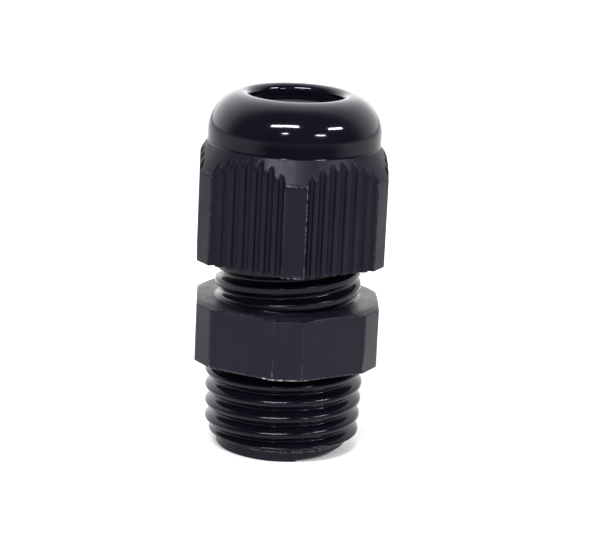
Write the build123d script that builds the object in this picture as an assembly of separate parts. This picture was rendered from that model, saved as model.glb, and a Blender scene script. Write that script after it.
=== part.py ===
from build123d import *
import math
import os

# Dome-nut cable gland.  Millimetres, +Z up the cable's path, Z = 0 at the lower end of the entry thread.

# Entry thread: tapered pipe thread, 18 turns to the inch, 1 in 16 on the diameter
ENTRY_LENGTH = 8.0
ENTRY_PITCH = 25.4 / 18
ENTRY_MAJOR = 6.86                # crest radius where the thread meets the flange
ENTRY_TAPER = 1 / 32              # radius lost for each millimetre of length
ENTRY_DEPTH = 0.70
ENTRY_ROOT = 0.10                 # gap between turns at the root
ENTRY_SHOULDER = 0.76             # width of a turn at its shoulder, a little below the crest
ENTRY_SHOULDER_DROP = 0.14
ENTRY_CREST = 0.30                # width of the crest flat
ENTRY_CREST_Z = 4.40              # height of a crest on the +X side
END_RADIUS = 5.62
END_COLLAR = 0.90                 # plain length before the first turn
END_RUN_IN = 0.66                 # length over which the first turn grows to full height
END_EDGE = 0.15

# Relief on part of the lower end face: a step, then a ramp that climbs with the thread
RELIEF_DEPTH = 0.27
RELIEF_START = -76.0
RELIEF_SWEEP = 110.0

# Hexagon flange
FLANGE_HEIGHT = 5.3
FLANGE_ACROSS_FLATS = 15.56
FLANGE_ACROSS_CORNERS = 16.54     # across the planes that cut off the corners
FLANGE_TURN = 2.1
FLANGE_CHAMFER_RADIUS = 7.75
FLANGE_CHAMFER_ANGLE = 25.0

# Two-start thread between body and nut
STARTS = 2
LEAD = 3.0
NUT_THREAD_MAJOR = 6.26
NUT_THREAD_DEPTH = 0.60
NUT_THREAD_CREST = 0.60
NUT_THREAD_ROOT = 0.30
NUT_THREAD_CREST_Z = 14.45        # height of a crest on the +X side
NUT_THREAD_LENGTH = 8.0
RADIAL_PLAY = 0.15
AXIAL_PLAY = 0.12

# Bores of the body
THROUGH_BORE = 3.75
MOUTH_BORE = 5.0
MOUTH_DEPTH = 5.3

# Clamping claw
CLAW_OUTER = 4.96
CLAW_INNER = 4.25
CLAW_RING_HEIGHT = 4.40
CLAW_SHELF = 0.80
FINGERS = 8
FINGER_SLOT = 0.65
FINGER_FOOT_GAP = 0.06
FINGER_TIP_Z = 25.8
FINGER_HEAD_Z = 25.0
FINGER_HEAD_RADIUS = 5.20
FINGER_NECK_Z = 23.6
FINGER_TIP_RADIUS = 4.90

# Rubber seal
SEAL_BORE = 3.10
SEAL_FOOT_RADIUS = 4.12
SEAL_NECK_RADIUS = 3.60
SEAL_COLLAR_RADIUS = 4.25
SEAL_COLLAR_HEIGHT = 0.68
SEAL_GAP = 0.02

# Sealing nut
NUT_GAP = 3.6                     # from flange top to nut with the nut left loose
NUT_ACROSS_FLATS = 15.86
NUT_ACROSS_CORNERS = 17.22
NUT_TURN = 2.6
SHOULDER_LOW = (8.60, 24.72)      # radius and height where the cone leaves the corners
SHOULDER_HIGH = (7.40, 26.65)     # radius and height where the cone meets the dome
DOME_RADIUS = 7.355
DOME_SPRING_Z = 27.81
DOME_TOP_Z = 30.93
DOME_POWER = 1.785                # 2 would be a plain ellipse
LIP_RADIUS = 4.60                 # radius of the dome's highest ring, round the hole
HOLE_RADIUS = 3.95
LIP_ROUND = 0.55                  # height of the rounding between that ring and the hole
LEDGE_Z = 29.60
CONE_START = (5.62, 25.0)
CONE_END_RADIUS = 4.40
NUT_ENTRY_CHAMFER = 0.35

# Grip grooves in the flats of the nut
GROOVES = 7
GROOVE_PITCH = 1.05
GROOVE_WIDTH = 0.60
GROOVE_DEPTH = 0.34

# Heights that follow from the sizes above
FLANGE_TOP = ENTRY_LENGTH + FLANGE_HEIGHT
RIM_Z = FLANGE_TOP + NUT_THREAD_LENGTH
MOUTH_FLOOR = RIM_Z - MOUTH_DEPTH
CLAW_RING_TOP = MOUTH_FLOOR + CLAW_RING_HEIGHT
SEAL_BASE = MOUTH_FLOOR + CLAW_SHELF + SEAL_GAP
SEAL_TOP = LEDGE_Z - SEAL_GAP
NUT_BASE = FLANGE_TOP + NUT_GAP
NUT_THREAD_MINOR = NUT_THREAD_MAJOR - NUT_THREAD_DEPTH
NUT_BORE = NUT_THREAD_MAJOR + RADIAL_PLAY
THREAD_STEP = LEAD / STARTS
RELIEF_CLIMB = ENTRY_PITCH * RELIEF_SWEEP / 360
FLAT = (SHOULDER_LOW[0] - SHOULDER_HIGH[0]) / (SHOULDER_HIGH[1] - SHOULDER_LOW[1])


def lathe(outline):
    """Solid of revolution about Z from a closed outline of (radius, height) points."""
    return revolve(Plane.XZ * make_face(Polyline(*outline, close=True)), Axis.Z)


def disc(radius, bottom, top):
    """Plain cylinder about Z between two heights."""
    return Pos(0, 0, bottom) * Cylinder(radius, top - bottom, align=(Align.CENTER, Align.CENTER, Align.MIN))


def ridge(pitch, bottom, top, outline, half_angle=0.0):
    """One helical ridge that starts on +X at the height bottom; its root is sunk a little into the core.

    The outline lists (radius, half width) from the root to the crest.
    """
    sunk = 0.1
    (root_radius, root_half), (next_radius, next_half) = outline[:2]
    flare = (root_half - next_half) / abs(next_radius - root_radius) * sunk
    inside = root_radius - math.copysign(sunk, next_radius - root_radius)
    side = [(inside, root_half + flare)] + outline[1:]
    corners = [(radius, -half) for radius, half in side] + [(radius, half) for radius, half in reversed(side)]
    edges = [Helix(pitch, top - bottom, radius, center=(0, 0, bottom + lift), cone_angle=half_angle).edge()
             for radius, lift in corners]
    faces = [Face.make_surface_from_curves(edges[n - 1], edges[n]) for n in range(len(edges))]
    for end in (0, 1):
        faces.append(Face(Wire.make_polygon([edge @ end for edge in edges], close=True)))
    return Solid(Shell(faces))


def hexagon(across_flats, across_corners, turn):
    """Hexagon with its corners cut off by planes; one cut corner faces -Y turned by the given angle."""
    apothem = across_flats / 2
    corner = across_corners / 2
    half_strip = (apothem / math.cos(math.radians(30)) - corner) * math.tan(math.radians(60))
    reach = math.hypot(corner, half_strip)
    spread = math.degrees(math.atan2(half_strip, corner))
    points = []
    for side in range(6):
        middle = -90 + turn + 60 * side
        for angle in (middle - spread, middle + spread):
            points.append((reach * math.cos(math.radians(angle)), reach * math.sin(math.radians(angle))))
    return Polygon(*points, align=None)


def entry_thread():
    """Tapered ridge of the entry thread, cut down to nothing towards the lower end."""
    start = ENTRY_CREST_Z - 4 * ENTRY_PITCH
    tip = ENTRY_MAJOR - (ENTRY_LENGTH - start) * ENTRY_TAPER
    angle = math.degrees(math.atan(ENTRY_TAPER))
    outline = [(tip - ENTRY_DEPTH, (ENTRY_PITCH - ENTRY_ROOT) / 2),
               (tip - ENTRY_SHOULDER_DROP, ENTRY_SHOULDER / 2), (tip, ENTRY_CREST / 2)]
    turn = ridge(ENTRY_PITCH, start, ENTRY_LENGTH + ENTRY_PITCH, outline, angle)
    full = ENTRY_MAJOR + 0.2
    climb = (full - END_RADIUS) * END_RUN_IN / (ENTRY_MAJOR - END_RADIUS)
    limit = lathe([(MOUTH_BORE, END_EDGE), (END_RADIUS, END_COLLAR), (full, END_COLLAR + climb),
                   (full, ENTRY_LENGTH + 1), (MOUTH_BORE, ENTRY_LENGTH + 1)])
    return turn & limit


def nut_thread_male():
    """The body's two helical ridges for the nut."""
    outline = [(NUT_THREAD_MINOR, (THREAD_STEP - NUT_THREAD_ROOT) / 2),
               (NUT_THREAD_MAJOR, NUT_THREAD_CREST / 2)]
    limit = lathe([(MOUTH_BORE, FLANGE_TOP - 1), (NUT_THREAD_MAJOR + 1, FLANGE_TOP - 1),
                   (NUT_THREAD_MAJOR + 1, RIM_Z - 1.6), (NUT_THREAD_MINOR, RIM_Z), (MOUTH_BORE, RIM_Z)])
    start = NUT_THREAD_CREST_Z - LEAD
    one = ridge(LEAD, start, RIM_Z + THREAD_STEP, outline)
    return [(Rot(0, 0, 360 / STARTS * n) * one) & limit for n in range(STARTS)]


def nut_thread_female():
    """The nut's two inward ridges; each runs midway between the body's ridges with play all round."""
    slope = (THREAD_STEP - NUT_THREAD_ROOT - NUT_THREAD_CREST) / 2 / NUT_THREAD_DEPTH
    tip_width = NUT_THREAD_ROOT + 2 * slope * RADIAL_PLAY - 2 * AXIAL_PLAY
    root_width = tip_width + 2 * slope * NUT_THREAD_DEPTH
    start = NUT_THREAD_CREST_Z + THREAD_STEP / 2
    outline = [(NUT_BORE, root_width / 2), (NUT_THREAD_MINOR + RADIAL_PLAY, tip_width / 2)]
    one = ridge(LEAD, start, CONE_START[1] + THREAD_STEP, outline)
    low = NUT_BASE + 1.5 * NUT_ENTRY_CHAMFER
    limit = disc(NUT_BORE + 1, low, CONE_START[1] + 0.1)
    return [(Rot(0, 0, 360 / STARTS * n) * one) & limit for n in range(STARTS)]


def gland_body():
    """Entry thread, hexagon flange and nut thread in one moulding with a stepped bore."""
    core_foot = ENTRY_MAJOR - ENTRY_LENGTH * ENTRY_TAPER - ENTRY_DEPTH
    core_head = ENTRY_MAJOR - ENTRY_DEPTH
    collar_top = END_COLLAR + (core_foot - END_RADIUS) * END_RUN_IN / (ENTRY_MAJOR - END_RADIUS)
    entry = lathe([(0, 0), (END_RADIUS - END_EDGE, 0), (END_RADIUS, END_EDGE), (END_RADIUS, END_COLLAR),
                   (core_foot + collar_top * ENTRY_TAPER, collar_top), (core_head, ENTRY_LENGTH),
                   (core_head, ENTRY_LENGTH + 2), (0, ENTRY_LENGTH + 2)])
    entry = entry + entry_thread()
    neck = disc(NUT_THREAD_MINOR, FLANGE_TOP - 1.5, RIM_Z)
    for turn in nut_thread_male():
        neck = neck + turn
    drop = math.tan(math.radians(FLANGE_CHAMFER_ANGLE))
    reach = FLANGE_ACROSS_CORNERS / 2 + 1
    chamfer = lathe([(0, ENTRY_LENGTH), (reach, ENTRY_LENGTH),
                     (reach, FLANGE_TOP - (reach - FLANGE_CHAMFER_RADIUS) * drop),
                     (FLANGE_CHAMFER_RADIUS, FLANGE_TOP), (0, FLANGE_TOP)])
    block = hexagon(FLANGE_ACROSS_FLATS, FLANGE_ACROSS_CORNERS, FLANGE_TURN)
    flange = extrude(Pos(0, 0, ENTRY_LENGTH) * block, FLANGE_HEIGHT) & chamfer
    body = entry + flange + neck
    body = body - disc(THROUGH_BORE, -1, RIM_Z + 1) - disc(MOUTH_BORE, MOUTH_FLOOR, RIM_Z + 1)
    thickness = 3 * RELIEF_DEPTH
    middle = RELIEF_DEPTH - thickness / 2
    ramp = ridge(ENTRY_PITCH, middle, middle + RELIEF_CLIMB,
                 [(THROUGH_BORE - 0.5, thickness / 2), (ENTRY_MAJOR, thickness / 2)])
    return body - Rot(0, 0, RELIEF_START) * ramp


def claw_ring():
    """Ring that carries the fingers; its inner shelf holds the seal's foot."""
    return lathe([(THROUGH_BORE, MOUTH_FLOOR), (CLAW_OUTER, MOUTH_FLOOR), (CLAW_OUTER, CLAW_RING_TOP),
                  (CLAW_INNER, CLAW_RING_TOP), (CLAW_INNER, MOUTH_FLOOR + CLAW_SHELF),
                  (THROUGH_BORE, MOUTH_FLOOR + CLAW_SHELF)])


def clamp_finger(number):
    """One flexible finger; its rounded foot turns on a line across its root."""
    half_wall = (CLAW_OUTER - 0.04 - CLAW_INNER) / 2
    pivot_radius = CLAW_INNER + half_wall
    pivot_z = CLAW_RING_TOP + FINGER_FOOT_GAP + half_wall
    outer = pivot_radius + half_wall
    tip_round = 0.12
    section = Plane.XZ * make_face(
        Polyline((outer, pivot_z), (outer, FINGER_NECK_Z), (FINGER_HEAD_RADIUS, FINGER_HEAD_Z),
                 (FINGER_TIP_RADIUS, FINGER_TIP_Z), (CLAW_INNER + tip_round, FINGER_TIP_Z),
                 (CLAW_INNER, FINGER_TIP_Z - tip_round), (CLAW_INNER, pivot_z))
        + ThreePointArc((CLAW_INNER, pivot_z), (pivot_radius, pivot_z - half_wall), (outer, pivot_z))
    )
    half = math.radians(180 / FINGERS)
    apex = FINGER_SLOT / 2 / math.sin(half)
    reach = 2 * FINGER_HEAD_RADIUS
    wedge = extrude(Polygon((apex, 0), (apex + reach * math.cos(half), -reach * math.sin(half)),
                            (apex + reach * math.cos(half), reach * math.sin(half)), align=None),
                    FINGER_TIP_Z + 1)
    return Rot(0, 0, 360 / FINGERS * number) * (revolve(section, Axis.Z) & wedge)


def seal():
    """Tapered rubber sleeve with a collar under the nut's ledge."""
    collar_z = SEAL_TOP - SEAL_COLLAR_HEIGHT
    lead_in = 0.3
    return lathe([(SEAL_BORE, SEAL_BASE), (SEAL_FOOT_RADIUS, SEAL_BASE), (SEAL_NECK_RADIUS, collar_z),
                  (SEAL_COLLAR_RADIUS, collar_z), (SEAL_COLLAR_RADIUS, SEAL_TOP),
                  (SEAL_BORE + lead_in, SEAL_TOP), (SEAL_BORE, SEAL_TOP - lead_in)])


def dome_curve(points=9):
    """Side of the dome from the spring line to the lip, close to a quarter ellipse."""
    width = DOME_RADIUS - LIP_RADIUS
    height = DOME_TOP_Z - DOME_SPRING_Z
    power = 2 / DOME_POWER
    knots = []
    for step in range(points):
        angle = math.pi / 2 * step / (points - 1)
        across = abs(math.cos(angle)) ** power
        up = abs(math.sin(angle)) ** power
        knots.append((LIP_RADIUS + width * across, DOME_SPRING_Z + height * up))
    return Spline(*knots, tangents=[(0, 1), (-1, 0)])


def lip_curve(steps=6):
    """Points of the rounding from the hole up to the dome's highest ring."""
    turns = [math.pi / 2 * step / steps for step in range(steps + 1)]
    return [(LIP_RADIUS - (LIP_RADIUS - HOLE_RADIUS) * math.cos(turn),
             DOME_TOP_Z - LIP_ROUND * (1 - math.sin(turn))) for turn in turns]


def grooved_hexagon():
    """Section of the nut: cut-corner hexagon with round-bottomed grooves in every flat."""
    section = hexagon(NUT_ACROSS_FLATS, NUT_ACROSS_CORNERS, NUT_TURN)
    apothem = NUT_ACROSS_FLATS / 2
    bottom = apothem - GROOVE_DEPTH + GROOVE_WIDTH / 2
    cut = Pos(bottom + 1, 0) * Rectangle(2, GROOVE_WIDTH) + Pos(bottom, 0) * Circle(GROOVE_WIDTH / 2)
    for side in range(6):
        for number in range(GROOVES):
            offset = (number - (GROOVES - 1) / 2) * GROOVE_PITCH
            section = section - Rot(0, 0, NUT_TURN - 60 + 60 * side) * Pos(0, offset) * cut
    return section


def sealing_nut():
    """Grooved hexagon under a smooth dome, threaded inside below a clamping cone."""
    low_r, low_z = SHOULDER_LOW
    high_r, high_z = SHOULDER_HIGH
    reach = NUT_ACROSS_CORNERS / 2 + 0.6
    shoulder = lathe([(0, NUT_BASE), (reach, NUT_BASE), (reach, low_z - (reach - low_r) / FLAT),
                      (high_r, high_z), (0, high_z)])
    block = extrude(Pos(0, 0, NUT_BASE) * grooved_hexagon(), high_z - NUT_BASE + 0.5) & shoulder
    dome_line = dome_curve()
    dome = revolve(Plane.XZ * make_face(
        Polyline((LIP_RADIUS, DOME_TOP_Z), (0, DOME_TOP_Z), (0, NUT_BASE), (DOME_RADIUS, NUT_BASE),
                 (DOME_RADIUS, DOME_SPRING_Z)) + dome_line), Axis.Z)
    cavity = lathe([(0, NUT_BASE - 1), (NUT_BORE + NUT_ENTRY_CHAMFER, NUT_BASE - 1),
                    (NUT_BORE + NUT_ENTRY_CHAMFER, NUT_BASE), (NUT_BORE, NUT_BASE + NUT_ENTRY_CHAMFER),
                    (NUT_BORE, CONE_START[1]), CONE_START, (CONE_END_RADIUS, LEDGE_Z),
                    (HOLE_RADIUS, LEDGE_Z)] + lip_curve()
                   + [(LIP_RADIUS, DOME_TOP_Z + 1), (0, DOME_TOP_Z + 1)])
    for turn in nut_thread_female():
        cavity = cavity - turn
    return (block + dome) - cavity


os.makedirs("parts", exist_ok=True)
pieces = {
    "gland_body": gland_body(),
    "claw_ring": claw_ring(),
    "seal": seal(),
    "sealing_nut": sealing_nut(),
}
for finger in range(FINGERS):
    pieces[f"clamp_finger_{finger + 1}"] = clamp_finger(finger)
for name, shape in pieces.items():
    solids = shape.solids()
    print(name, len(solids), "solid", round(shape.volume, 2), "mm3", shape.is_valid)
    export_step(solids[0], f"parts/{name}.step")
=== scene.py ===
import math
import bpy
import numpy as np
from mathutils import Quaternion, Matrix, Vector


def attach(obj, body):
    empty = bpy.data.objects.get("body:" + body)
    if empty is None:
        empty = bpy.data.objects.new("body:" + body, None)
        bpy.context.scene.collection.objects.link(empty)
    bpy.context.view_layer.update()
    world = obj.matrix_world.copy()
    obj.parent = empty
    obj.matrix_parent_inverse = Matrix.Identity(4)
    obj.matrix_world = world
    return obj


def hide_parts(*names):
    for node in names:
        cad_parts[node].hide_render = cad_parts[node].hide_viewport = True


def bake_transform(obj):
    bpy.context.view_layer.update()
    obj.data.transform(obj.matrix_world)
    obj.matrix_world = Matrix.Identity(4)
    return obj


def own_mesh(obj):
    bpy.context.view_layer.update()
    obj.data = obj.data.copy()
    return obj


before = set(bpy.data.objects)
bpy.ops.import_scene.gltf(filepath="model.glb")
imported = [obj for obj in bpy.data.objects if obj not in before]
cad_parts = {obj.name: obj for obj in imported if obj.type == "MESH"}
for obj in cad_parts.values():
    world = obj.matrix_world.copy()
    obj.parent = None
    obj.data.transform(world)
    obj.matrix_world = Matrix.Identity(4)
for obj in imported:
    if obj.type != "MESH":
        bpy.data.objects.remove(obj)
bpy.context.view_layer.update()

# ---------------------------------------------------------------- sizes, in millimetres
# They match the CAD, except that ENTRY_CREST and ENTRY_ROOT make the visible thread rounder.
MM = 0.001
ENTRY_LENGTH = 8.0
ENTRY_PITCH = 25.4 / 18
ENTRY_MAJOR = 6.86
ENTRY_TAPER = 1 / 32
ENTRY_DEPTH = 0.70
ENTRY_CREST = 0.40
ENTRY_ROOT = 0.10
ENTRY_ROUND = 0.40                # rounding of crest and root, as a share of the depth
ENTRY_CREST_Z = 4.40
END_RADIUS = 5.62
END_COLLAR = 0.90
END_RUN_IN = 0.66
END_EDGE = 0.15
RELIEF_DEPTH = 0.27
RELIEF_START = -76.0
RELIEF_SWEEP = 110.0
RELIEF_STEP = 0.8                 # degrees over which the relief's two ends rise

FLANGE_TOP = 13.3
FLANGE_FLAT = 7.78
FLANGE_CORNER = 8.27
FLANGE_TURN = 2.1
FLANGE_CHAMFER_RADIUS = 7.75
FLANGE_CHAMFER_ANGLE = 25.0
FLANGE_CORNER_ROUND = 0.10
FLANGE_EDGE = 0.07

STARTS = 2
LEAD = 3.0
THREAD_STEP = LEAD / STARTS
NUT_THREAD_MAJOR = 6.26
NUT_THREAD_MINOR = 5.66
NUT_THREAD_CREST = 0.60
NUT_THREAD_ROOT = 0.30
NUT_THREAD_CREST_Z = 14.45
NUT_THREAD_HEIGHT = NUT_THREAD_MAJOR - NUT_THREAD_MINOR
NUT_THREAD_ROUND = 0.4            # rounding of crest and root, as a share of the height
RADIAL_PLAY = 0.15
AXIAL_PLAY = 0.12
RIM_Z = 21.3
THROUGH_BORE = 3.75
MOUTH_BORE = 5.0
MOUTH_FLOOR = 16.0

CLAW_OUTER = 4.96
CLAW_INNER = 4.25
CLAW_SHELF_Z = 16.8
CLAW_RING_TOP = 20.4
FINGERS = 8
FINGER_SLOT = 0.65
FINGER_OUTER = 4.92
FINGER_NECK_Z = 23.6
FINGER_HEAD_Z = 25.0
FINGER_HEAD_RADIUS = 5.20
FINGER_TIP_Z = 25.8
FINGER_TIP_RADIUS = 4.90

SEAL_BORE = 3.10
SEAL_BASE = 16.82
SEAL_TOP = 29.58
SEAL_FOOT_RADIUS = 4.12
SEAL_NECK_RADIUS = 3.60
SEAL_COLLAR_RADIUS = 4.25
SEAL_COLLAR_HEIGHT = 0.68

NUT_BASE = 16.9
NUT_FLAT = 7.93
NUT_CORNER = 8.61
NUT_TURN = 2.6
NUT_EDGE = 0.08
SHOULDER_LOW_RADIUS = 8.60
SHOULDER_LOW_Z = 24.72
SHOULDER_HIGH_RADIUS = 7.40
SHOULDER_HIGH_Z = 26.65
DOME_RADIUS = 7.355
DOME_SPRING_Z = 27.81
DOME_TOP_Z = 30.93
DOME_POWER = 1.785
LIP_RADIUS = 4.60
LIP_ROUND = 0.55
HOLE_RADIUS = 3.95
LEDGE_Z = 29.60
CONE_START_RADIUS = 5.62
CONE_START_Z = 25.0
CONE_END_RADIUS = 4.40
NUT_BORE = NUT_THREAD_MAJOR + RADIAL_PLAY
NUT_ENTRY_CHAMFER = 0.35
GROOVES = 7
GROOVE_PITCH = 1.05
GROOVE_WIDTH = 0.60
GROOVE_DEPTH = 0.34
STRIP_REACH = math.sqrt(3)        # a cut corner's half width for each millimetre that is cut off

BODY_SEGMENTS = 720
NUT_SEGMENTS = 1440
INNER_SEGMENTS = 192
ROW = 0.05                        # height of one row of faces on the threads
FOOT_ZONE = 1.2                   # height over which rows spread to clear the relief in the end face


# ---------------------------------------------------------------- shaping helpers
def soft_min(a, b, k):
    """The smaller of two lengths with the crease rounded over a width k; never above either."""
    h = np.maximum(k - np.abs(a - b), 0.0) / k
    return np.minimum(a, b) - h * h * k * 0.25


def soft_max(a, b, k):
    """The larger of two lengths, rounded in the same way; never below either."""
    return -soft_min(-a, -b, k)


def smooth(low, high, x):
    """0 below low, 1 above high, with an S-shaped rise between them."""
    t = np.clip((x - low) / (high - low), 0.0, 1.0)
    return t * t * (3 - 2 * t)


def around(segments):
    """Directions round the axis, in degrees."""
    return np.arange(segments) * 360.0 / segments


def hexagon_angles(angle, turn):
    """Angles, in radians, from the middle of the nearest flat and of the nearest corner of a hexagon."""
    to_flat = np.radians((angle + 90 - turn) % 60 - 30)
    to_corner = np.radians((angle + 120 - turn) % 60 - 30)
    return to_flat, to_corner


def cut_hexagon(angle, flat, corner, turn, k):
    """Radius of a hexagon with its corners cut off; one cut corner faces -Y, turned by the angle turn."""
    to_flat, to_corner = hexagon_angles(angle, turn)
    return soft_min(flat / np.cos(to_flat), corner / np.cos(to_corner), k)


def ridge_height(angle, z, step, lead, crest_z, crest, root_gap, k):
    """Height, 0 to 1, of helical ridges that stand a step apart and rise by lead in one turn."""
    phase = (z - crest_z - lead * angle / 360.0) / step
    off = np.abs(phase - np.round(phase)) * step
    half_root = (step - root_gap) / 2
    flank = (half_root - off) / (half_root - crest / 2)
    return np.maximum(soft_max(soft_min(flank, 1.0, k), 0.0, k), 0.0)


def rounded_edge(size, steps):
    """Steps of a quarter round, from a face out to the side: distance inward and distance up."""
    for turn in np.radians(np.linspace(0, 90, steps)):
        yield size * (1 - math.sin(turn)), size * (1 - math.cos(turn))


def ring(angle, radius, z):
    """Points round the axis; radius and z are single numbers or one number for each direction."""
    a = np.radians(angle)
    radius = np.broadcast_to(radius, angle.shape)
    z = np.broadcast_to(z, angle.shape)
    return np.stack([radius * np.cos(a), radius * np.sin(a), z], axis=1)


def ring_mesh(name, rings):
    """Quads between rings of equal count, given in millimetres; the last ring joins the first."""
    count = len(rings[0])
    rows = len(rings)
    points = np.concatenate(rings) * MM
    n = np.arange(count)
    m = (n + 1) % count
    faces = []
    for row in range(rows):
        a = row * count
        b = (row + 1) % rows * count
        faces.append(np.stack([a + n, a + m, b + m, b + n], axis=1))
    mesh = bpy.data.meshes.new(name)
    mesh.from_pydata(points.tolist(), [], np.concatenate(faces).tolist())
    mesh.polygons.foreach_set("use_smooth", [True] * len(mesh.polygons))
    mesh.update()
    return mesh


def tint(mesh, name, values):
    """Per-vertex number for the materials."""
    layer = mesh.attributes.new(name, "FLOAT", "POINT")
    layer.data.foreach_set("value", np.asarray(values, dtype=np.float32))


def make_piece(name, mesh, material):
    """A new object with the mesh and one material."""
    piece = bpy.data.objects.new(name, mesh)
    bpy.context.scene.collection.objects.link(piece)
    mesh.materials.append(material)
    return piece


# ---------------------------------------------------------------- body
def flange_outline(angle):
    """Radius of the flange's side."""
    return cut_hexagon(angle, FLANGE_FLAT, FLANGE_CORNER, FLANGE_TURN, FLANGE_CORNER_ROUND)


def body_rings():
    """Closed outline of the body from the lower bore, out over both threads and back down the mouth."""
    angle = around(BODY_SEGMENTS)
    into = (angle - RELIEF_START) % 360
    relief = RELIEF_DEPTH + ENTRY_PITCH * into / 360
    relief = relief * smooth(0, RELIEF_STEP, into) * smooth(0, RELIEF_STEP, RELIEF_SWEEP - into)
    rings = []

    def lifted(z):
        """Height of a row, raised where the relief cuts into the end face."""
        return relief + z * (FOOT_ZONE - relief) / FOOT_ZONE if z < FOOT_ZONE else z

    def add(radius, z):
        rings.append(ring(angle, radius, lifted(z)))

    add(THROUGH_BORE, 0.30)
    add(THROUGH_BORE + 0.02, 0.18)
    add(THROUGH_BORE + 0.08, 0.06)
    add(THROUGH_BORE + 0.18, 0.0)
    add(4.8, 0.0)
    for inward, up in rounded_edge(END_EDGE, 5):
        add(END_RADIUS - inward, up)
    for row_z in np.arange(END_EDGE + ROW, ENTRY_LENGTH - 0.5 * ROW, ROW):
        z = lifted(row_z)
        crest_radius = ENTRY_MAJOR - (ENTRY_LENGTH - z) * ENTRY_TAPER
        up = ridge_height(angle, z, ENTRY_PITCH, ENTRY_PITCH, ENTRY_CREST_Z,
                          ENTRY_CREST, ENTRY_ROOT, ENTRY_ROUND)
        radius = crest_radius - ENTRY_DEPTH + ENTRY_DEPTH * up
        run_in = END_RADIUS + (z - END_COLLAR) * (ENTRY_MAJOR - END_RADIUS) / END_RUN_IN
        radius = soft_min(radius, np.maximum(run_in, END_RADIUS), 0.15)
        collar = np.where(z < END_COLLAR, END_RADIUS - 0.02, 0.0)
        add(np.maximum(radius, collar), row_z)
    top_of_entry = rings[-1]
    inner = np.hypot(top_of_entry[:, 0], top_of_entry[:, 1])
    hexagon = flange_outline(angle)
    underside = hexagon - FLANGE_EDGE - 0.03 - inner
    for share in (0.02, 0.3, 0.6, 0.85, 1.0):
        add(inner + underside * share, ENTRY_LENGTH)
    for inward, up in rounded_edge(FLANGE_EDGE, 4):
        add(hexagon - inward, ENTRY_LENGTH + up)
    slope = 1 / math.tan(math.radians(FLANGE_CHAMFER_ANGLE))
    side_rows = np.linspace(ENTRY_LENGTH + 0.4, 12.3, 9)
    chamfer_rows = np.arange(12.4, FLANGE_TOP - 0.005, 0.03)
    for z in (ENTRY_LENGTH + 0.16, *side_rows, *chamfer_rows):
        cone = FLANGE_CHAMFER_RADIUS + (FLANGE_TOP - z) * slope
        add(soft_min(hexagon, cone, 0.16), z)
    add(FLANGE_CHAMFER_RADIUS - 0.08, FLANGE_TOP)
    add(7.0, FLANGE_TOP)
    for n, z in enumerate(np.arange(FLANGE_TOP, RIM_Z - 0.02, ROW)):
        up = ridge_height(angle, z, THREAD_STEP, LEAD, NUT_THREAD_CREST_Z,
                          NUT_THREAD_CREST, NUT_THREAD_ROOT, NUT_THREAD_ROUND)
        radius = NUT_THREAD_MINOR + NUT_THREAD_HEIGHT * up
        top_cone = NUT_THREAD_MINOR + (RIM_Z - z) * 0.8
        fillet = 0.12 if n == 0 else 0.0
        add(soft_min(radius, top_cone, 0.1) + fillet, z)
    add(NUT_THREAD_MINOR - 0.12, RIM_Z)
    add(MOUTH_BORE + 0.10, RIM_Z)
    add(MOUTH_BORE + 0.02, RIM_Z - 0.08)
    for z in np.linspace(RIM_Z - 0.3, MOUTH_FLOOR + 0.1, 12):
        add(MOUTH_BORE, z)
    add(MOUTH_BORE, MOUTH_FLOOR)
    add(4.4, MOUTH_FLOOR)
    add(THROUGH_BORE + 0.03, MOUTH_FLOOR)
    add(THROUGH_BORE, MOUTH_FLOOR - 0.05)
    for z in np.linspace(MOUTH_FLOOR - 0.5, 0.6, 20):
        add(THROUGH_BORE, z)
    return rings


# ---------------------------------------------------------------- nut
def groove_depth(angle):
    """Depth below the flat of the grip grooves, for each direction."""
    along = NUT_FLAT * np.tan(hexagon_angles(angle, NUT_TURN)[0])
    number = np.clip(np.round(along / GROOVE_PITCH), -(GROOVES // 2), GROOVES // 2)
    off = np.abs(along - number * GROOVE_PITCH)
    half = GROOVE_WIDTH / 2
    round_part = np.sqrt(np.maximum(half * half - off * off, 0)) / half
    wall = 1 - smooth(half - 0.05, half + 0.05, off)
    return (GROOVE_DEPTH - half * 0.8) * wall + half * 0.8 * round_part


def nut_outer(angle, z):
    """Radius of the nut's outside below the dome."""
    to_flat, to_corner = hexagon_angles(angle, NUT_TURN)
    flat = (NUT_FLAT - groove_depth(angle)) / np.cos(to_flat)
    outline = soft_min(flat, NUT_CORNER / np.cos(to_corner), 0.08)
    run = (SHOULDER_LOW_RADIUS - SHOULDER_HIGH_RADIUS) / (SHOULDER_HIGH_Z - SHOULDER_LOW_Z)
    cone = SHOULDER_LOW_RADIUS - (z - SHOULDER_LOW_Z) * run
    return soft_max(soft_min(outline, cone, 0.20), DOME_RADIUS, 0.08)


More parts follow.
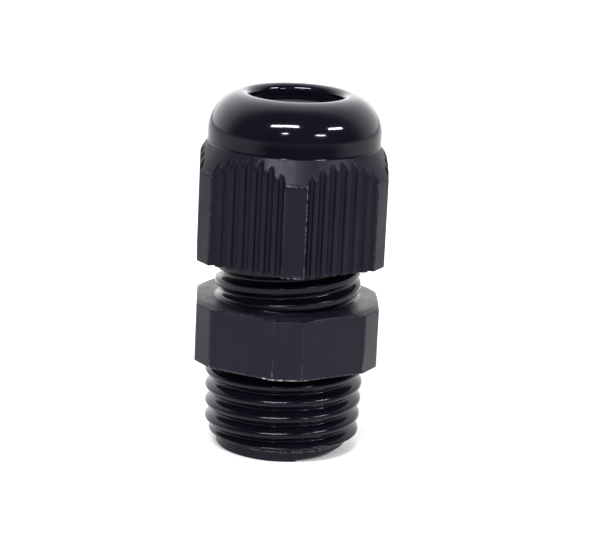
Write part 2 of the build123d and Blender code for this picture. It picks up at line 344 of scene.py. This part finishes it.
def nut_rings():
    """Closed outline of the nut: flats, shoulder, dome, hole, ledge, cone, thread and bottom face."""
    angle = around(NUT_SEGMENTS)
    rings = []

    def add(radius, z):
        rings.append(ring(angle, radius, z))

    foot = nut_outer(angle, NUT_BASE)
    for inward, up in rounded_edge(NUT_EDGE, 4):
        add(foot - inward, NUT_BASE + up)
    for z in (*np.linspace(NUT_BASE + 0.5, 23.8, 10), *np.arange(24.0, 26.9, 0.05)):
        add(nut_outer(angle, z), z)
    add(DOME_RADIUS, 27.1)
    add(DOME_RADIUS, 27.45)
    width = DOME_RADIUS - LIP_RADIUS
    height = DOME_TOP_Z - DOME_SPRING_Z
    for turn in np.linspace(0, 90, 33):
        a = math.radians(turn)
        across = max(math.cos(a), 0.0) ** (2 / DOME_POWER)
        up = math.sin(a) ** (2 / DOME_POWER)
        add(LIP_RADIUS + width * across, DOME_SPRING_Z + height * up)
    for turn in np.linspace(10, 90, 9):
        a = math.radians(turn)
        add(HOLE_RADIUS + (LIP_RADIUS - HOLE_RADIUS) * (1 - math.sin(a)),
            DOME_TOP_Z - LIP_ROUND * (1 - math.cos(a)))
    add(HOLE_RADIUS, 30.1)
    add(HOLE_RADIUS, LEDGE_Z + 0.04)
    add(HOLE_RADIUS + 0.04, LEDGE_Z)
    add(CONE_END_RADIUS, LEDGE_Z)
    for share in (0.25, 0.5, 0.75, 1.0):
        add(CONE_END_RADIUS + (CONE_START_RADIUS - CONE_END_RADIUS) * share,
            LEDGE_Z + (CONE_START_Z - LEDGE_Z) * share)
    slope = (THREAD_STEP - NUT_THREAD_ROOT - NUT_THREAD_CREST) / 2 / NUT_THREAD_HEIGHT
    tip = NUT_THREAD_ROOT + 2 * slope * RADIAL_PLAY - 2 * AXIAL_PLAY
    root_gap = THREAD_STEP - tip - 2 * slope * NUT_THREAD_HEIGHT
    low = NUT_BASE + 1.5 * NUT_ENTRY_CHAMFER
    add(NUT_BORE, CONE_START_Z)
    for z in np.arange(CONE_START_Z - 0.1, low, -0.09):
        up = ridge_height(angle, z, THREAD_STEP, LEAD, NUT_THREAD_CREST_Z + THREAD_STEP / 2,
                          tip, root_gap, 0.2)
        fade = smooth(low - 0.05, low + 0.4, z) * smooth(CONE_START_Z + 0.05, CONE_START_Z - 0.4, z)
        add(NUT_BORE - NUT_THREAD_HEIGHT * up * fade, z)
    add(NUT_BORE, NUT_BASE + NUT_ENTRY_CHAMFER)
    add(NUT_BORE + NUT_ENTRY_CHAMFER, NUT_BASE)
    inner = NUT_BORE + NUT_ENTRY_CHAMFER
    for share in (0.5, 0.95):
        add(inner + (foot - NUT_EDGE - inner) * share, NUT_BASE)
    return rings


# ---------------------------------------------------------------- claw, fingers and seal
def revolve_mesh(name, outline):
    """A closed outline of radius and height, turned round the axis."""
    angle = around(INNER_SEGMENTS)
    return ring_mesh(name, [ring(angle, radius, z) for radius, z in outline])


def claw_ring_mesh():
    """The claw's ring, with a shelf at its foot for the seal."""
    edge = 0.05
    foot = MOUTH_FLOOR + 0.01
    return revolve_mesh("claw_ring_shape", [
        (THROUGH_BORE + edge, foot),
        (CLAW_OUTER - 0.2, foot),
        (CLAW_OUTER - edge, foot + 0.02),
        (CLAW_OUTER, foot + 0.19),
        (CLAW_OUTER, 18.2),
        (CLAW_OUTER, CLAW_RING_TOP - edge),
        (CLAW_OUTER - edge, CLAW_RING_TOP),
        (CLAW_INNER + edge, CLAW_RING_TOP),
        (CLAW_INNER, CLAW_RING_TOP - edge),
        (CLAW_INNER, 18.5),
        (CLAW_INNER, CLAW_SHELF_Z + edge),
        (CLAW_INNER - edge, CLAW_SHELF_Z),
        (THROUGH_BORE + edge, CLAW_SHELF_Z),
        (THROUGH_BORE, CLAW_SHELF_Z - edge),
        (THROUGH_BORE, MOUTH_FLOOR + edge),
    ])


def finger_mesh(number):
    """One finger: a block of the claw's wall with a thick rounded head, its root just above the ring."""
    root = CLAW_RING_TOP + 0.01
    outline = [(CLAW_INNER, root),
               (CLAW_INNER, FINGER_NECK_Z),
               (CLAW_INNER, FINGER_HEAD_Z),
               (CLAW_INNER, FINGER_TIP_Z - 0.14),
               (CLAW_INNER + 0.05, FINGER_TIP_Z - 0.04),
               (CLAW_INNER + 0.14, FINGER_TIP_Z),
               (FINGER_TIP_RADIUS - 0.12, FINGER_TIP_Z),
               (FINGER_TIP_RADIUS - 0.02, FINGER_TIP_Z - 0.07),
               (FINGER_HEAD_RADIUS - 0.06, FINGER_HEAD_Z + 0.16),
               (FINGER_HEAD_RADIUS - 0.01, FINGER_HEAD_Z + 0.02),
               (FINGER_HEAD_RADIUS - 0.03, FINGER_HEAD_Z - 0.14),
               (FINGER_OUTER + 0.03, FINGER_NECK_Z + 0.14),
               (FINGER_OUTER, FINGER_NECK_Z - 0.1),
               (FINGER_OUTER, root)]
    longest = 0.35
    dense = []
    for n, (radius, z) in enumerate(outline):
        to_radius, to_z = outline[(n + 1) % len(outline)]
        parts = max(1, int(math.hypot(to_radius - radius, to_z - z) / longest))
        for part in range(parts):
            dense.append((radius + (to_radius - radius) * part / parts, z + (to_z - z) * part / parts))
    columns = 17
    middle = (CLAW_INNER + FINGER_OUTER) / 2
    rows = []
    for column in range(columns):
        share = -1 + 2 * column / (columns - 1)
        edge = 0.3 * max(0.0, abs(share) - 0.9)
        row = []
        for radius, z in dense:
            half = math.pi / FINGERS - math.asin(FINGER_SLOT / 2 / radius)
            angle = math.tau * number / FINGERS + half * share
            radius = radius + (middle - radius) * edge
            row.append((radius * math.cos(angle), radius * math.sin(angle), z))
        rows.append(row)
    count = len(dense)
    points = [(x * MM, y * MM, z * MM) for row in rows for x, y, z in row]
    faces = []
    for column in range(columns - 1):
        a = column * count
        for n in range(count):
            m = (n + 1) % count
            faces.append((a + n, a + count + n, a + count + m, a + m))
    faces.append(tuple(range(count)))
    faces.append(tuple(reversed([(columns - 1) * count + n for n in range(count)])))
    mesh = bpy.data.meshes.new("finger_shape")
    mesh.from_pydata(points, [], faces)
    mesh.update()
    for poly in mesh.polygons:
        poly.use_smooth = len(poly.vertices) == 4
    return mesh


def seal_mesh():
    """Tapered sleeve with a collar at its top and a rounded mouth."""
    collar_z = SEAL_TOP - SEAL_COLLAR_HEIGHT
    edge = 0.08
    outline = [(SEAL_BORE, SEAL_BASE + edge), (SEAL_BORE + edge, SEAL_BASE),
               (SEAL_FOOT_RADIUS - edge, SEAL_BASE)]
    for share in np.linspace(0, 1, 24):
        outline.append((SEAL_FOOT_RADIUS + (SEAL_NECK_RADIUS - SEAL_FOOT_RADIUS) * share,
                        SEAL_BASE + edge + (collar_z - 0.02 - SEAL_BASE - edge) * share))
    outline += [(SEAL_COLLAR_RADIUS - edge, collar_z), (SEAL_COLLAR_RADIUS, collar_z + edge),
                (SEAL_COLLAR_RADIUS, SEAL_TOP - edge), (SEAL_COLLAR_RADIUS - edge, SEAL_TOP)]
    for inward, up in rounded_edge(0.3, 6):
        outline.append((SEAL_BORE + inward, SEAL_TOP - up))
    for z in np.linspace(SEAL_TOP - 0.8, SEAL_BASE + 0.5, 24):
        outline.append((SEAL_BORE, z))
    return revolve_mesh("seal_shape", outline)


# ---------------------------------------------------------------- materials
def new_material(name):
    """A material with its nodes, its links and its shader."""
    material = bpy.data.materials.new(name)
    material.use_nodes = True
    nodes = material.node_tree.nodes
    return material, nodes, material.node_tree.links, nodes["Principled BSDF"]


def noise(nodes, links, coords, scale, detail=3.0, roughness=0.5, stretch=(1, 1, 1)):
    """Noise in object space, in metres: a scale of 1000 makes patches of about a millimetre."""
    mapping = nodes.new("ShaderNodeMapping")
    mapping.inputs["Scale"].default_value = stretch
    links.new(coords, mapping.inputs["Vector"])
    texture = nodes.new("ShaderNodeTexNoise")
    texture.inputs["Scale"].default_value = scale
    texture.inputs["Detail"].default_value = detail
    texture.inputs["Roughness"].default_value = roughness
    links.new(mapping.outputs["Vector"], texture.inputs["Vector"])
    return texture.outputs["Fac"]


def remap(nodes, links, value, low, high, to_low, to_high):
    """Value between low and high, mapped and held between to_low and to_high."""
    node = nodes.new("ShaderNodeMapRange")
    node.inputs["From Min"].default_value = low
    node.inputs["From Max"].default_value = high
    node.inputs["To Min"].default_value = to_low
    node.inputs["To Max"].default_value = to_high
    links.new(value, node.inputs["Value"])
    return node.outputs["Result"]


def math_node(nodes, links, operation, a, b):
    """Two values or sockets joined by a math operation."""
    node = nodes.new("ShaderNodeMath")
    node.operation = operation
    for socket, value in zip(node.inputs, (a, b)):
        if isinstance(value, (int, float)):
            socket.default_value = value
        else:
            links.new(value, socket)
    return node.outputs["Value"]


def attribute(nodes, name):
    """The number that tint stored on the mesh under this name; 0 where there is none."""
    node = nodes.new("ShaderNodeAttribute")
    node.attribute_name = name
    return node.outputs["Fac"]


def add_grain(nodes, links, shader, height, strength):
    """Bump of at most 0.02 millimetres on top of the modelled shape."""
    bump = nodes.new("ShaderNodeBump")
    bump.inputs["Distance"].default_value = 0.02 * MM
    bump.inputs["Strength"].default_value = strength
    links.new(height, bump.inputs["Height"])
    links.new(bump.outputs["Normal"], shader.inputs["Normal"])


def nylon(name, base, rough, specular, streaks, grain):
    """Black moulded nylon: paler where it is worn or carries painted glints and the noise breaks it up,
    duller where it is hazy.
    """
    material, nodes, links, shader = new_material(name)
    coords = nodes.new("ShaderNodeTexCoord").outputs["Object"]
    wear_and_glint = attribute(nodes, "wear_and_glint")
    # patches of about 4 mm, grain of 0.2 mm, streaks of 0.7 mm drawn out along the axis, chips of 0.4 mm
    broad = noise(nodes, links, coords, 260.0, 4.0)
    fine = noise(nodes, links, coords, 5200.0, 3.0, 0.6)
    streak = noise(nodes, links, coords, 1400.0, 3.0, 0.6, (1, 1, 0.10))
    chips = noise(nodes, links, coords, 2600.0, 3.0, 0.7)
    chipped = remap(nodes, links, chips, 0.44, 0.60, 0.0, 1.0)
    scuffs_and_glints = math_node(nodes, links, "MULTIPLY", wear_and_glint, chipped)
    # pale colour for rubbed wear and for painted glints, broken up by the chip noise
    color = nodes.new("ShaderNodeMix")
    color.data_type = "RGBA"
    color.inputs["A"].default_value = (*base, 1)
    color.inputs["B"].default_value = (0.62, 0.62, 0.63, 1)
    links.new(scuffs_and_glints, color.inputs["Factor"])
    tone = nodes.new("ShaderNodeMix")
    tone.data_type = "RGBA"
    tone.blend_type = "MULTIPLY"
    tone.inputs["Factor"].default_value = 0.6
    links.new(color.outputs["Result"], tone.inputs["A"])
    shade = nodes.new("ShaderNodeCombineColor")
    patchy = remap(nodes, links, broad, 0.3, 0.7, 0.6, 1.35)
    streaked = remap(nodes, links, streak, 0.3, 0.7, 1.0 - streaks, 1.0 + streaks)
    level = math_node(nodes, links, "MULTIPLY", patchy, streaked)
    for socket in ("Red", "Green", "Blue"):
        links.new(level, shade.inputs[socket])
    links.new(shade.outputs["Color"], tone.inputs["B"])
    links.new(tone.outputs["Result"], shader.inputs["Base Color"])
    smudge = remap(nodes, links, broad, 0.3, 0.7, -0.20 * streaks, 0.20 * streaks)
    lined = remap(nodes, links, streak, 0.3, 0.7, rough - 0.12 * streaks, rough + 0.16 * streaks)
    spread = math_node(nodes, links, "ADD", lined, smudge)
    scuff_and_glint_rough = math_node(nodes, links, "MULTIPLY", scuffs_and_glints, 0.3)
    haze = attribute(nodes, "haze")
    hazy = math_node(nodes, links, "MULTIPLY", haze, 0.2)
    rougher = math_node(nodes, links, "ADD", scuff_and_glint_rough, hazy)
    links.new(math_node(nodes, links, "ADD", spread, rougher), shader.inputs["Roughness"])
    shine = remap(nodes, links, haze, 0.0, 1.0, specular, 0.04 * specular)
    links.new(shine, shader.inputs["Specular IOR Level"])
    shader.inputs["Specular Tint"].default_value = (0.84, 0.84, 1.0, 1)
    relief = math_node(nodes, links, "ADD", math_node(nodes, links, "MULTIPLY", fine, 0.5), streak)
    add_grain(nodes, links, shader, relief, grain)
    return material


def rubber(name):
    """Matte black rubber with a fine grain."""
    material, nodes, links, shader = new_material(name)
    coords = nodes.new("ShaderNodeTexCoord").outputs["Object"]
    broad = noise(nodes, links, coords, 400.0, 4.0)
    fine = noise(nodes, links, coords, 6000.0, 3.0, 0.6)
    ramp = nodes.new("ShaderNodeValToRGB")
    ramp.color_ramp.elements[0].position = 0.3
    ramp.color_ramp.elements[0].color = (0.010, 0.010, 0.011, 1)
    ramp.color_ramp.elements[1].position = 0.7
    ramp.color_ramp.elements[1].color = (0.022, 0.022, 0.023, 1)
    links.new(broad, ramp.inputs["Fac"])
    links.new(ramp.outputs["Color"], shader.inputs["Base Color"])
    links.new(remap(nodes, links, fine, 0.3, 0.7, 0.62, 0.78), shader.inputs["Roughness"])
    add_grain(nodes, links, shader, fine, 0.5)
    return material


# ---------------------------------------------------------------- pieces
def two_finishes(mesh, second, picks):
    """Second material on the faces whose height, in millimetres, the test picks."""
    mesh.materials.append(second)
    centers = np.empty(len(mesh.polygons) * 3)
    mesh.polygons.foreach_get("center", centers)
    picked = picks(centers.reshape(-1, 3)[:, 2] / MM)
    mesh.polygons.foreach_set("material_index", picked.astype(np.int32))


def half_strip(flat, corner):
    """Half the width of a hexagon's cut corner."""
    return (flat / math.cos(math.radians(30)) - corner) * STRIP_REACH


def strip_edge(angle, radius, flat, corner, turn, width):
    """1 on the two upright edges of every cut corner of a hexagon, fading over the given width."""
    across = np.abs(radius * np.sin(hexagon_angles(angle, turn)[1]))
    return 1 - smooth(0.4 * width, width, np.abs(across - half_strip(flat, corner)))


def near(angle, direction, width):
    """1 within half of width degrees of a direction round the axis, fading to 0 at width."""
    return 1 - smooth(0.5 * width, width, np.abs((angle - direction + 180) % 360 - 180))


def body_rubs_and_glints(angle, radius, z):
    """Pale marks on the flange's edges, most under the front corner, and on the end's collar: partly
    rubbed wear, partly painted glints and painted highlights along the edges.
    """
    flange = (z > ENTRY_LENGTH - 0.02) & (z < FLANGE_TOP + 0.02) & (radius > 7.4)
    outermost = radius > flange_outline(angle) - FLANGE_EDGE - 0.015
    foot = (1 - smooth(ENTRY_LENGTH + 0.06, ENTRY_LENGTH + 0.16, z)) * outermost
    top = smooth(FLANGE_TOP - 0.30, FLANGE_TOP - 0.20, z) * (radius > 7.65)
    upright = strip_edge(angle, radius, FLANGE_FLAT, FLANGE_CORNER, FLANGE_TURN, 0.09)
    low = 1 - smooth(ENTRY_LENGTH + 0.6, ENTRY_LENGTH + 1.5, z)
    left = near(angle, FLANGE_TURN - 98, 9)
    front = near(angle, FLANGE_TURN - 88, 12)
    # painted glints along the flange's foot, top edge and upright corner edges, brightest at the front,
    # mixed with some rubbed wear
    on_flange = foot * (0.08 + 0.25 * front + 1.6 * left) + 0.01 * top + upright * (0.01 + 0.12 * low)
    collar = (z < END_COLLAR + 0.1) & (radius > END_RADIUS - 0.12)
    rim = smooth(END_COLLAR - 0.15, END_COLLAR - 0.05, z)
    # painted highlights on the collar's top edge towards the front, over a little rubbed wear
    on_collar = (0.01 + 0.14 * rim) * near(angle, FLANGE_TURN - 78, 60)
    return np.where(flange, np.clip(on_flange, 0, 1), np.where(collar, on_collar, 0.0))


def nut_rubs_and_glints(angle, radius, z):
    """Pale marks on the edges of the nut's cut corners, most on the one at the front: partly rubbed wear,
    partly painted glints on the upright edges, the foot and the ledge.
    """
    across = radius * np.sin(hexagon_angles(angle, NUT_TURN)[1])
    reach = np.hypot(NUT_CORNER, half_strip(NUT_FLAT, NUT_CORNER))
    upright = strip_edge(angle, radius, NUT_FLAT, NUT_CORNER, NUT_TURN, 0.08) * (radius > reach - 0.09)
    below = 1 - smooth(SHOULDER_LOW_Z - 0.1, SHOULDER_LOW_Z + 0.1, z)
    outermost = radius > nut_outer(angle, NUT_BASE) - NUT_EDGE - 0.005
    foot = (1 - smooth(NUT_BASE + 0.03, NUT_BASE + 0.09, z)) * outermost
    strip = 1 - smooth(0.8, 1.0, np.abs(across))
    ledge = strip * (1 - smooth(0.03, 0.10, np.abs(z - SHOULDER_LOW_Z + 0.02))) * (radius > 8.2)
    right = near(angle, NUT_TURN - 90 + 6.5, 4)
    front = near(angle, NUT_TURN - 90, 8)
    # painted glints on the upright corner edges, the foot and the ledge, strongest at the front, mixed
    # with some rubbed wear
    total = upright * below * (0.03 + 0.12 * right)
    total = total + foot * (0.03 + 0.4 * front) + ledge * (0.03 + 0.12 * front)
    return np.clip(total, 0, 1)


def dome_haze(angle, radius, z):
    """Dull band round the foot of the dome, dullest at the front."""
    band = smooth(SHOULDER_HIGH_Z, SHOULDER_HIGH_Z + 0.15, z) * (1 - smooth(27.5, 29.0, z))
    return band * (0.55 + 0.45 * near(angle, NUT_TURN - 88, 36))


def at_points(rings, rule):
    """The rule's value at every point of the rings."""
    x, y, z = np.concatenate(rings).T
    return rule(np.degrees(np.arctan2(y, x)), np.hypot(x, y), z)


def build_pieces():
    """The twelve visible pieces; all but the eight fingers are attached to the body that carries them."""
    dark = (0.0046, 0.0039, 0.0078)
    deep = (0.0022, 0.0019, 0.0040)
    plain = (0.008, 0.008, 0.010)
    body_satin = nylon("body_satin", dark, rough=0.35, specular=0.16, streaks=0.35, grain=0.6)
    body_gloss = nylon("body_gloss", deep, rough=0.14, specular=0.17, streaks=0.03, grain=0.0)
    nut_satin = nylon("nut_satin", dark, rough=0.38, specular=0.115, streaks=0.35, grain=0.6)
    nut_gloss = nylon("nut_gloss", deep, rough=0.07, specular=0.34, streaks=0.06, grain=0.05)
    claw_nylon = nylon("claw_nylon", plain, rough=0.35, specular=0.4, streaks=0.15, grain=0.4)
    seal_rubber = rubber("seal_rubber")

    rings = body_rings()
    mesh = ring_mesh("gland_body_shape", rings)
    # per-vertex rubbed wear and painted glints on the flange and collar edges
    tint(mesh, "wear_and_glint", at_points(rings, body_rubs_and_glints))
    body = make_piece("gland_body_shell", mesh, body_gloss)
    two_finishes(mesh, body_satin, lambda z: (z < END_COLLAR - 0.05)
                 | (z > ENTRY_LENGTH - 0.01) & (z < FLANGE_TOP + 0.01))
    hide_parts("gland_body")
    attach(body, "gland_body")

    rings = nut_rings()
    mesh = ring_mesh("sealing_nut_shape", rings)
    # per-vertex rubbed wear and painted glints on the nut's corner edges
    tint(mesh, "wear_and_glint", at_points(rings, nut_rubs_and_glints))
    tint(mesh, "haze", at_points(rings, dome_haze))
    nut = make_piece("sealing_nut_shell", mesh, nut_gloss)
    two_finishes(mesh, nut_satin, lambda z: z < SHOULDER_HIGH_Z)
    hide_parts("sealing_nut")
    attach(nut, "nut")

    mesh = claw_ring_mesh()
    claw = make_piece("claw_ring_shell", mesh, claw_nylon)
    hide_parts("claw_ring")
    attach(claw, "gland_body")

    for number in range(FINGERS):
        finger = make_piece(f"finger_{number + 1}_shell", finger_mesh(number), claw_nylon)
        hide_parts(f"clamp_finger_{number + 1}")
        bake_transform(finger)

    seal = make_piece("seal_sleeve", seal_mesh(), seal_rubber)
    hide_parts("seal")
    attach(seal, "gland_body")
    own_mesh(seal)


# ---------------------------------------------------------------- stage, light and camera
def build_stage():
    """Pale plain floor, reaching three metres to each side."""
    size = 3.0
    mesh = bpy.data.meshes.new("floor_shape")
    cells = 12
    points = [(-size + 2 * size * i / cells, -size + 2 * size * j / cells, 0.0)
              for j in range(cells + 1) for i in range(cells + 1)]
    row = cells + 1
    corners = [j * row + i for j in range(cells) for i in range(cells)]
    faces = [(n, n + 1, n + row + 1, n + row) for n in corners]
    mesh.from_pydata(points, [], faces)
    material, nodes, links, shader = new_material("floor_paint")
    coords = nodes.new("ShaderNodeTexCoord").outputs["Object"]
    grain = noise(nodes, links, coords, 40.0, 3.0)
    links.new(remap(nodes, links, grain, 0.3, 0.7, 0.68, 0.74), shader.inputs["Roughness"])
    shader.inputs["Base Color"].default_value = (0.80, 0.80, 0.805, 1)
    floor = make_piece("floor", mesh, material)


def area_light(name, place, aim, width, height, power, roll):
    """Rectangular lamp that faces its aim, rolled by so many degrees about that line."""
    data = bpy.data.lights.new(name, "AREA")
    data.shape = "RECTANGLE"
    data.size = width
    data.size_y = height
    data.energy = power
    light = bpy.data.objects.new(name, data)
    bpy.context.scene.collection.objects.link(light)
    light.location = place
    facing = (aim - place).to_track_quat("-Z", "Y")
    light.rotation_euler = (facing @ Quaternion((0, 0, 1), math.radians(roll))).to_euler()


def build_light():
    """Soft light from behind, dimmer at the right, and four small lamps for the glints on the gloss."""
    world = bpy.data.worlds.new("studio")
    bpy.context.scene.world = world
    world.use_nodes = True
    nodes = world.node_tree.nodes
    links = world.node_tree.links
    background = nodes["Background"]
    coords = nodes.new("ShaderNodeTexCoord").outputs["Generated"]
    split = nodes.new("ShaderNodeSeparateXYZ")
    links.new(coords, split.inputs["Vector"])
    ramp = nodes.new("ShaderNodeValToRGB")
    stops = ramp.color_ramp.elements
    stops[0].position = 0.45
    stops[0].color = (0.055, 0.055, 0.058, 1)
    stops[1].position = 0.84
    stops[1].color = (0.74, 0.74, 0.75, 1)
    for position, level in ((0.55, 0.19), (0.62, 0.40), (0.70, 0.54)):
        stops.new(position).color = (level, level, 1.02 * level, 1)
    links.new(remap(nodes, links, split.outputs["Y"], -1.0, 1.0, 0.0, 1.0), ramp.inputs["Fac"])
    links.new(ramp.outputs["Color"], background.inputs["Color"])
    strength = remap(nodes, links, split.outputs["X"], 0.10, 0.50, 3.0, 2.2)
    links.new(strength, background.inputs["Strength"])
    dome = Vector((0, 0, 0.028))
    distance = 0.45
    radiance = 320.0
    lamps = (("front_tube", (-0.200, -0.630, 0.750), 0.250, 0.035, 12),
             ("side_tube", (0.726, -0.341, 0.596), 0.140, 0.028, -16),
             ("front_lamp", (-0.201, -0.849, 0.489), 0.050, 0.016, 12),
             ("side_lamp", (0.536, -0.725, 0.431), 0.090, 0.016, -8))
    for name, way, width, height, roll in lamps:
        place = dome + distance * Vector(way)
        area_light(name, place, dome, width, height, radiance * width * height, roll)


def build_camera():
    """Long-lens camera a little above the object, leaned a little to one side."""
    elevation = math.radians(14.5)
    distance = 0.2156
    lean = math.radians(2.739)
    aim = Vector((0, 0, 0.01528))
    side_step = 0.0007
    data = bpy.data.cameras.new("camera")
    data.sensor_width = 36.0
    data.lens = 152.5
    data.clip_start = 0.01
    data.clip_end = 20
    camera = bpy.data.objects.new("camera", data)
    bpy.context.scene.collection.objects.link(camera)
    place = aim + distance * Vector((0, -math.cos(elevation), math.sin(elevation)))
    facing = (aim - place).to_track_quat("-Z", "Y").to_matrix().to_4x4()
    right = facing.to_3x3() @ Vector((1, 0, 0))
    moved = Matrix.Translation(place + right * side_step)
    camera.matrix_world = moved @ facing @ Matrix.Rotation(lean, 4, "Z")
    bpy.context.scene.camera = camera


build_pieces()
build_stage()
build_light()
build_camera()
bpy.context.scene.view_settings.view_transform = "Standard"
